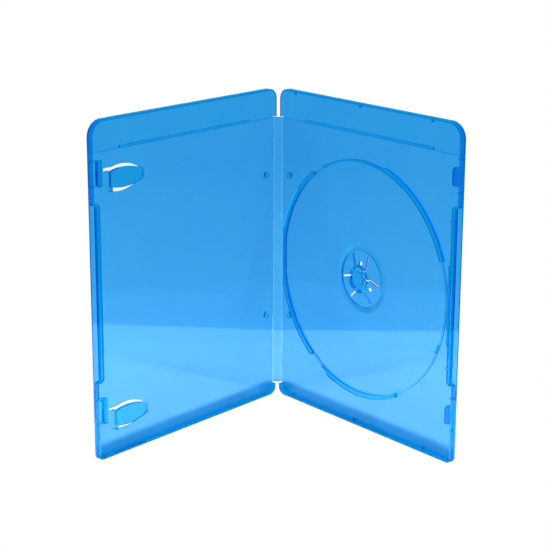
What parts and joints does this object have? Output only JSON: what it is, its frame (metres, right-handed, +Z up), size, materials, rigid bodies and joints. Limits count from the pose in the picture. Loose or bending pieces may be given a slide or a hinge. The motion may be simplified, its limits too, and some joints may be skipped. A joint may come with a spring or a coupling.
{
  "type": "slim optical disc case",
  "caption": "Slim clear blue plastic disc case standing open: cover leaf with booklet clips, spine on living hinges, tray leaf with disc hub and clear film sleeve.",
  "frame": {"origin": "middle of the case's footprint, on the surface it stands on", "axes": "+Z up along the spine, +Y from the opening towards the spine, cover leaf on the -X side and tray leaf on the +X side"},
  "size_m": [0.1792, 0.1054, 0.1715],
  "materials": {
    "clear_blue_plastic": "glossy translucent moulding",
    "clear_film": "clear thin film"
  },
  "bodies": {
    "spine": {"spine_panel": "clear_blue_plastic", "spine_film": "clear_film"},
    "cover": {"cover_leaf": "clear_blue_plastic", "cover_film": "clear_film"},
    "tray": {"disc_tray_leaf": "clear_blue_plastic", "tray_film": "clear_film"}
  },
  "joints": [
    {"name": "cover_hinge", "type": "hinge", "parent": "spine", "child": "cover", "pos_m": [-0.003, 0.05221, 0.0809], "axis": [0, 0, -1], "range_deg": [-40, 50]},
    {"name": "tray_hinge", "type": "hinge", "parent": "spine", "child": "tray", "pos_m": [0.003, 0.05221, 0.0809], "axis": [0, 0, 1], "range_deg": [-40, 50]}
  ]
}
